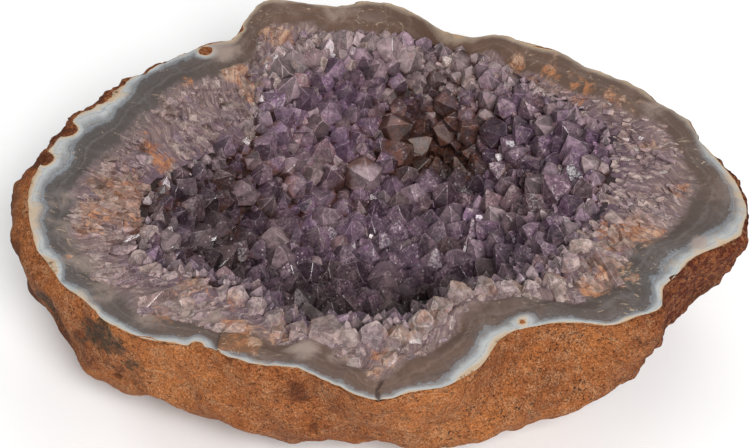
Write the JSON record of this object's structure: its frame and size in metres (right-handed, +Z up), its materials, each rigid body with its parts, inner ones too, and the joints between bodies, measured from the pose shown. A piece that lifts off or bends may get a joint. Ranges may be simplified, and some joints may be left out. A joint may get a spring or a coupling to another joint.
{
  "type": "amethyst geode half",
  "caption": "Natural geode half, open side up: a lumpy oval bowl of stone with a rough rind, a banded agate rim and a hollow lined with amethyst crystals, for display.",
  "frame": {"origin": "middle of the flat foot, at the height of what the geode stands on", "axes": "+X along the geode's longest way, to the right in the picture; +Z up, out of the open hollow; +Y to the higher back rim"},
  "size_m": [0.1995, 0.1612, 0.0525],
  "materials": {
    "rind_and_agate": "rough porous orange-brown rind outside; broken agate rim, white and grey, with a soft gloss",
    "amethyst": "glossy flat crystal faces, purple-grey and slightly see-through"
  },
  "bodies": {
    "root": {"geode_shell": "rind_and_agate", "amethyst_crust": "amethyst"}
  },
  "joints": []
}
